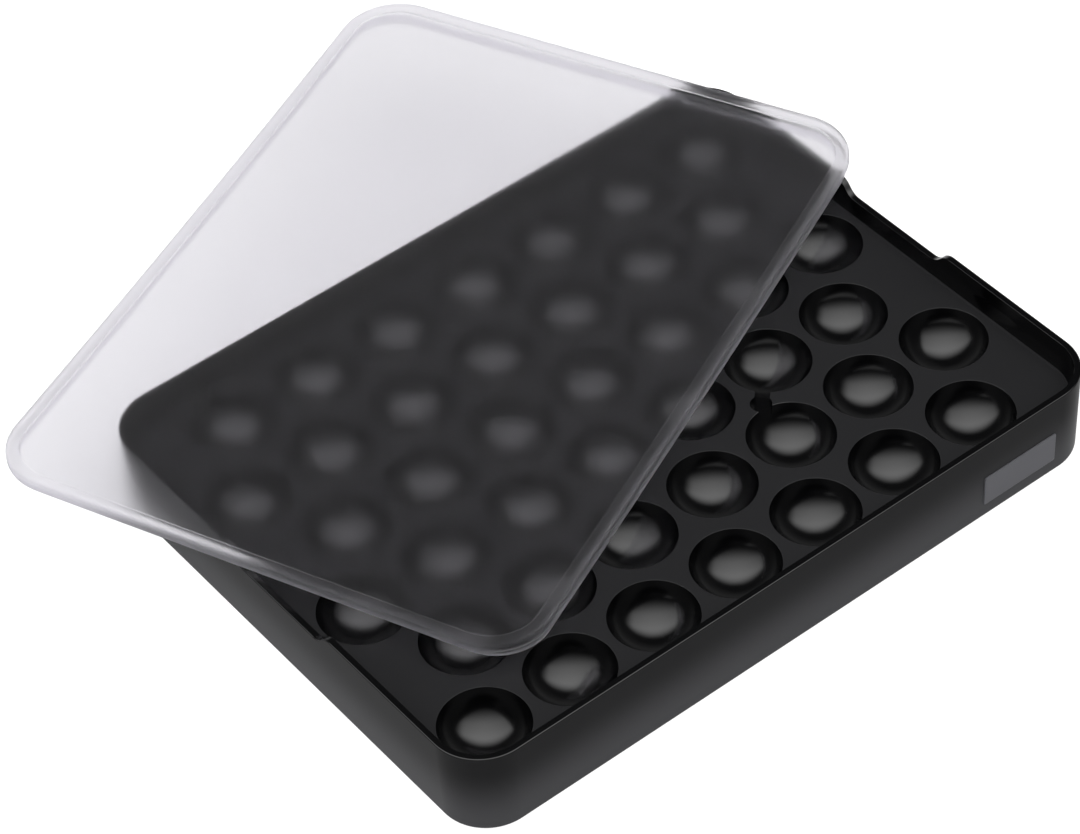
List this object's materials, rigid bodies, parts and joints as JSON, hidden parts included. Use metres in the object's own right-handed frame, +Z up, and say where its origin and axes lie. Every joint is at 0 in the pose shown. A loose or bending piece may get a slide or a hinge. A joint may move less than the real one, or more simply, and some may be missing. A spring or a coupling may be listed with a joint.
{
  "type": "ice cube tray",
  "caption": "Rectangular moulded tray of staggered half-round ice cells with a walled rim and finger notches, and a loose flat lid laid askew on top.",
  "frame": {"origin": "middle of the tray's footprint, on the plane it stands on", "axes": "+Z up out of the cells, +X along the rows of cells, +Y across the rows toward the side that the lid overhangs"},
  "size_m": [0.2047, 0.2045, 0.0282],
  "materials": {
    "tray": "satin",
    "lid": "satin"
  },
  "bodies": {
    "root": {"tray": "tray", "lid": "lid"}
  },
  "joints": []
}
